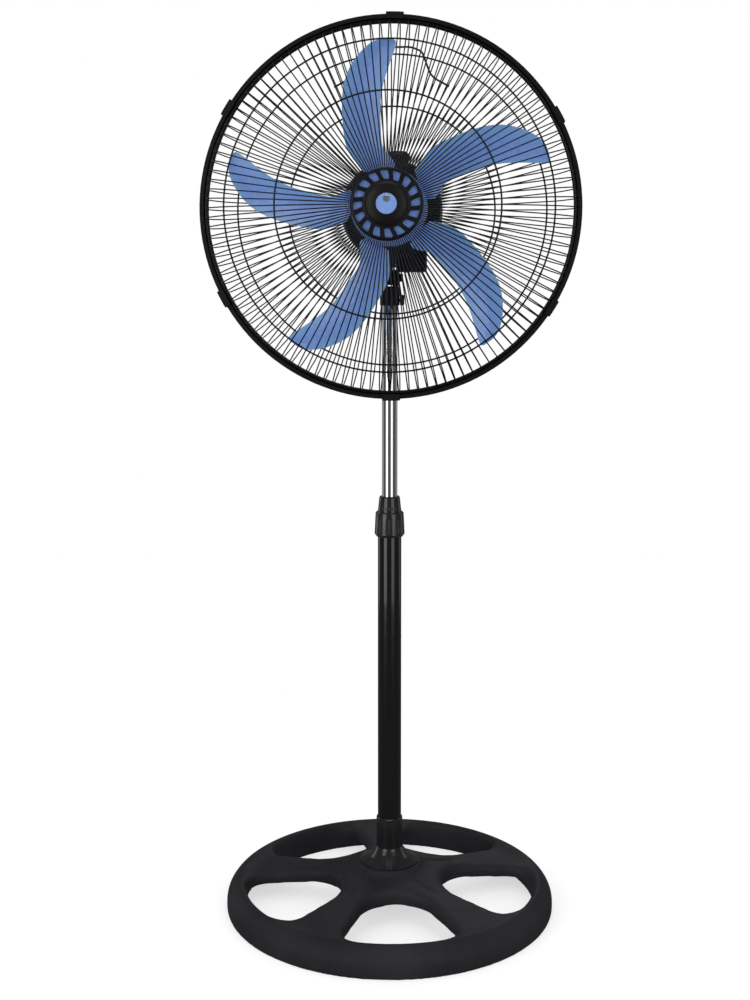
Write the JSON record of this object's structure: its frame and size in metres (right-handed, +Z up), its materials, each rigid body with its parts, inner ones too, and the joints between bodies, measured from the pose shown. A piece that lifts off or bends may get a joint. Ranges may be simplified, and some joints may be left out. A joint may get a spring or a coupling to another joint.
{
  "type": "pedestal fan",
  "caption": "Pedestal fan with a round wire guard, swept blades, a telescopic pole with a lock nut and an open wheel-shaped base; it tilts, oscillates and changes height.",
  "frame": {"origin": "middle of the base's underside, on the floor", "axes": "+Z up along the pole, front of the fan towards -Y"},
  "size_m": [0.4799, 0.446, 1.1873],
  "materials": {
    "ballast": "rough",
    "base_plastic": "rough moulded",
    "black_gloss": "gloss",
    "black_plastic": "satin",
    "blue_plastic": "translucent gloss",
    "brass": "turned",
    "chrome": "polished",
    "copper": "enamelled winding",
    "cover_grey": "satin",
    "guard_wire": "powder coated",
    "steel": "plated",
    "white_plastic": "satin"
  },
  "bodies": {
    "base": {"base_shell": "base_plastic", "base_ballast": "ballast", "base_bottom_cover": "cover_grey", "pole_cone": "black_plastic", "outer_tube": "black_gloss", "tube_end_plug": "steel", "base_stud": "steel", "base_washer": "steel", "base_wing_nut": "steel", "tube_collet": "white_plastic"},
    "lock": {"lock_nut": "black_plastic"},
    "column": {"inner_tube": "chrome", "inner_tube_guide": "white_plastic", "neck_socket": "black_plastic", "tilt_bolt": "black_gloss", "tilt_nut": "black_gloss"},
    "neck_screw": {"neck_thumbscrew": "black_plastic"},
    "tilt": {"tilt_bracket": "black_gloss"},
    "head": {"motor_front_housing": "black_gloss", "motor_rear_housing": "black_plastic", "stator_core": "steel", "stator_windings": "copper", "bearing_rear": "brass", "bearing_front": "brass", "gearbox_housing": "black_plastic", "switch_box": "black_plastic", "switch_box_cover": "black_plastic", "cover_screws": "steel", "speed_switch": "white_plastic", "capacitor": "white_plastic", "cord_gland": "black_plastic", "front_guard_spokes": "guard_wire", "front_guard_rings": "guard_wire", "rear_guard_spokes": "guard_wire", "rear_guard_rings": "guard_wire", "rear_guard_plate": "guard_wire", "guard_nut": "black_plastic", "rear_guard_handle": "guard_wire", "trim_ring": "black_plastic", "guard_clip_a": "black_plastic", "guard_clip_b": "black_plastic", "guard_clip_c": "black_plastic", "guard_clip_d": "black_plastic", "guard_clip_e": "black_plastic", "guard_clip_f": "black_plastic", "cap_ring": "black_plastic", "cap_backing": "blue_plastic", "cap_disc": "blue_plastic", "cap_rivet": "steel"},
    "rotor": {"motor_shaft": "steel", "rotor_core": "steel", "worm": "steel", "fan_impeller": "blue_plastic", "spinner_nut": "black_plastic", "drive_collar": "steel"},
    "worm_gear": {"worm_wheel": "white_plastic"},
    "crank": {"oscillation_crank": "steel"},
    "link": {"oscillation_link": "steel"},
    "clutch": {"clutch_knob": "black_plastic"},
    "speed": {"speed_knob": "black_plastic"}
  },
  "joints": [
    {"name": "lock_turn", "type": "hinge", "parent": "base", "child": "lock", "pos_m": [0, 0, 0.53], "axis": [0, 0, 1], "range_deg": [0, 180]},
    {"name": "height", "type": "slide", "parent": "base", "child": "column", "axis": [0, 0, 1], "range_m": [-0.25, 0.13]},
    {"name": "neck_screw_turn", "type": "hinge", "parent": "column", "child": "neck_screw", "pos_m": [0.0135, 0, 0.83], "axis": [1, 0, 0], "range_deg": [0, 720]},
    {"name": "tilt", "type": "hinge", "parent": "column", "child": "tilt", "pos_m": [0, 0, 0.86], "axis": [-1, 0, 0], "range_deg": [-15, 25]},
    {"name": "oscillate", "type": "hinge", "parent": "tilt", "child": "head", "pos_m": [0, 0, 0.88], "axis": [0, 0, 1], "range_deg": [-40, 40]},
    {"name": "fan_spin", "type": "hinge", "parent": "head", "child": "rotor", "pos_m": [0.0055, -0.12, 0.9455], "axis": [0, -1, 0], "continuous": true},
    {"name": "worm_gear_spin", "type": "hinge", "parent": "head", "child": "worm_gear", "pos_m": [0.0225, 0.046, 0.92], "axis": [0, 0, 1], "continuous": true},
    {"name": "crank_turn", "type": "hinge", "parent": "head", "child": "crank", "pos_m": [-0.005, 0.046, 0.89], "axis": [0, 0, 1], "range_deg": [-55, 55]},
    {"name": "link_turn", "type": "hinge", "parent": "crank", "child": "link", "pos_m": [-0.022, 0.046, 0.88], "axis": [0, 0, 1], "range_deg": [-55, 55]},
    {"name": "clutch_pull", "type": "slide", "parent": "head", "child": "clutch", "axis": [0, 0, 1], "range_m": [0, 0.008]},
    {"name": "speed_turn", "type": "hinge", "parent": "head", "child": "speed", "pos_m": [0.041, -0.009, 0.878], "axis": [0, 1, 0], "range_deg": [0, 135]}
  ],
  "couplings": [
    {"joint": "worm_gear_spin", "follows": "fan_spin", "ratio": -0.05},
    {"joint": "crank_turn", "follows": "oscillate", "ratio": -1.37},
    {"joint": "link_turn", "follows": "oscillate", "ratio": 1.37}
  ]
}
